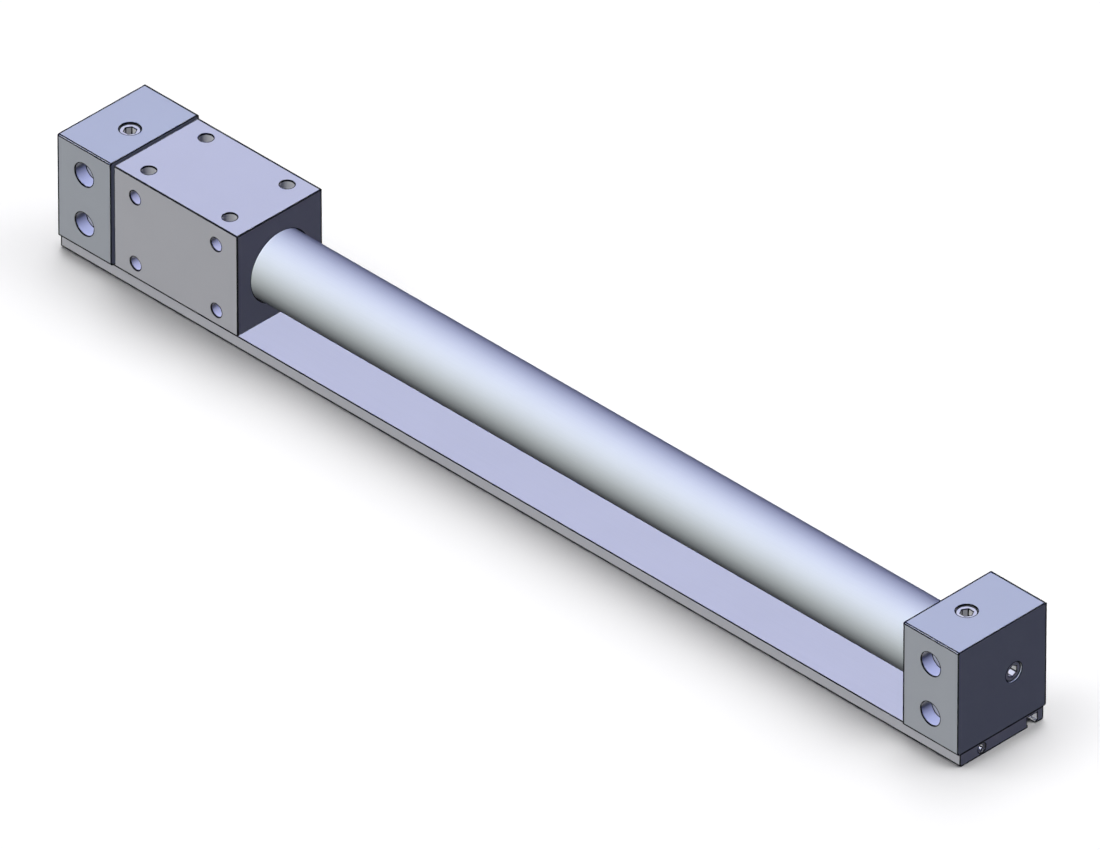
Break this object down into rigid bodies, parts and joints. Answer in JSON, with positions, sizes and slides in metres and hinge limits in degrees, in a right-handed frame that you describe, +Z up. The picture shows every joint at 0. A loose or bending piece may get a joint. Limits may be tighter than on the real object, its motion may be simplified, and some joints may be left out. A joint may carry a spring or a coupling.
{
  "type": "rodless pneumatic cylinder",
  "caption": "Magnetically coupled rodless cylinder: a block slider rides a round tube between square end heads joined by a slotted switch rail.",
  "frame": {"origin": "centre of the rail's bottom face, under the middle of the cylinder", "axes": "+X along the tube, away from the end with the open ports and the slider's rest; +Z up from the rail to the slider's top; -Y is the side with the counterbored screw holes"},
  "size_m": [0.5426, 0.0534, 0.0598],
  "materials": {
    "head_alloy": "hard anodised, fine matt",
    "slider_alloy": "hard anodised, fine matt",
    "rail_alloy": "clear anodised extrusion",
    "cover_alloy": "turned",
    "stainless_tube": "drawn and polished",
    "plug_steel": "plated",
    "screw_steel": "black oxide",
    "shaft_steel": "ground",
    "yoke_steel": "rolled, zinc plated",
    "spring_steel": "phosphated",
    "magnet_nickel": "nickel plated",
    "seal_rubber": "moulded nitrile",
    "bumper_urethane": "moulded urethane",
    "bearing_resin": "filled resin",
    "felt": "oiled felt"
  },
  "bodies": {
    "cylinder": {"switch_rail": "rail_alloy", "cylinder_tube": "stainless_tube", "end_plug_right": "plug_steel", "head_left": "head_alloy", "tube_seal_left": "seal_rubber", "bumper_left": "bumper_urethane", "top_plug_left": "plug_steel", "passage_plug_left": "plug_steel", "riser_seal_left": "seal_rubber", "rail_screw_left_front": "screw_steel", "rail_screw_left_back": "screw_steel", "head_right": "head_alloy", "tube_seal_right": "seal_rubber", "bumper_right": "bumper_urethane", "top_plug_right": "plug_steel", "passage_plug_right": "plug_steel", "riser_seal_right": "seal_rubber", "rail_screw_right_front": "screw_steel", "rail_screw_right_back": "screw_steel"},
    "slider": {"slider_block": "slider_alloy", "switch_magnet": "magnet_nickel", "slider_cover": "cover_alloy", "retaining_ring": "spring_steel", "slider_bearing_left": "bearing_resin", "grease_felt_left": "felt", "scraper_left": "seal_rubber", "slider_bearing_right": "bearing_resin", "grease_felt_right": "felt", "scraper_right": "seal_rubber", "outer_yoke_1": "yoke_steel", "outer_yoke_2": "yoke_steel", "outer_yoke_3": "yoke_steel", "outer_yoke_4": "yoke_steel", "outer_magnet_1": "magnet_nickel", "outer_magnet_2": "magnet_nickel", "outer_magnet_3": "magnet_nickel"},
    "piston": {"piston_shaft": "shaft_steel", "piston_end_left": "cover_alloy", "piston_seal_left": "seal_rubber", "piston_wear_ring_left": "bearing_resin", "piston_nut_left": "screw_steel", "piston_end_right": "cover_alloy", "piston_seal_right": "seal_rubber", "piston_wear_ring_right": "bearing_resin", "piston_nut_right": "screw_steel", "inner_yoke_1": "yoke_steel", "inner_yoke_2": "yoke_steel", "inner_yoke_3": "yoke_steel", "inner_yoke_4": "yoke_steel", "inner_magnet_1": "magnet_nickel", "inner_magnet_2": "magnet_nickel", "inner_magnet_3": "magnet_nickel"}
  },
  "joints": [
    {"name": "slider_slide", "type": "slide", "parent": "cylinder", "child": "slider", "axis": [1, 0, 0], "range_m": [0, 0.4]},
    {"name": "piston_slide", "type": "slide", "parent": "cylinder", "child": "piston", "axis": [1, 0, 0], "range_m": [0, 0.4]}
  ],
  "couplings": [
    {"joint": "piston_slide", "follows": "slider_slide", "ratio": 1}
  ]
}
